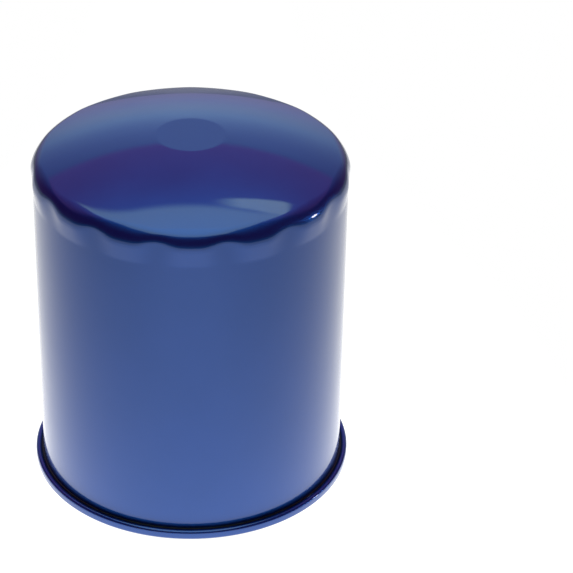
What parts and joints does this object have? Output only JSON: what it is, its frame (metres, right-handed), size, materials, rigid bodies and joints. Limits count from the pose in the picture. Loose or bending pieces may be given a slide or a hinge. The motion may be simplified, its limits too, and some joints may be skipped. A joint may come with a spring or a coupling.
{
  "type": "oil filter",
  "caption": "Spin-on engine oil filter: fluted domed steel can with a rolled seam, threaded base plate, gasket, valves and pleated element inside.",
  "frame": {"origin": "centre of the gasket's sealing face, at the filter's open end", "axes": "+Z along the filter's axis towards the can's closed end; -Y faces the ridge between two wrench flutes"},
  "size_m": [0.0978, 0.0978, 0.1123],
  "materials": {
    "blue_paint": "glossy metallic blue paint",
    "black_sealant": "cured seam compound",
    "black_rubber": "moulded nitrile, satin",
    "plated_steel": "zinc plated",
    "orange_silicone": "moulded silicone, satin",
    "tinned_steel": "bright tinned sheet",
    "spring_steel": "blued spring steel",
    "filter_paper": "resin-cured filter paper, matt",
    "plastisol": "cured plastisol",
    "hot_melt": "hot-melt glue"
  },
  "bodies": {
    "filter_body": {"can_shell": "blue_paint", "seaming_lid": "blue_paint", "seam_sealant": "black_sealant", "outer_gasket": "black_rubber", "base_plate": "plated_steel", "lower_end_cap": "tinned_steel", "upper_end_cap": "tinned_steel", "lower_potting": "plastisol", "upper_potting": "plastisol", "filter_media": "filter_paper", "media_seam_clip": "tinned_steel", "pleat_bead_lower": "hot_melt", "pleat_bead_upper": "hot_melt", "centre_tube": "tinned_steel", "bypass_valve_body": "tinned_steel", "bypass_spring": "spring_steel", "bypass_spring_cap": "tinned_steel", "element_spring": "spring_steel"},
    "poppet": {"bypass_poppet": "tinned_steel", "bypass_seal": "black_rubber"},
    "anti_drain_flap": {"anti_drain_valve": "orange_silicone"}
  },
  "joints": [
    {"name": "bypass_opening", "type": "slide", "parent": "filter_body", "child": "poppet", "axis": [0, 0, -1], "range_m": [0, 0.0035], "stiffness_N_per_m": 1600, "springref_m": -0.009, "deforming": ["bypass_spring"]},
    {"name": "anti_drain_lift", "type": "slide", "parent": "filter_body", "child": "anti_drain_flap", "axis": [0, 0, 1], "range_m": [0, 0.0012], "stiffness_N_per_m": 60, "springref_m": -0.003, "deforming": ["anti_drain_valve"]}
  ]
}
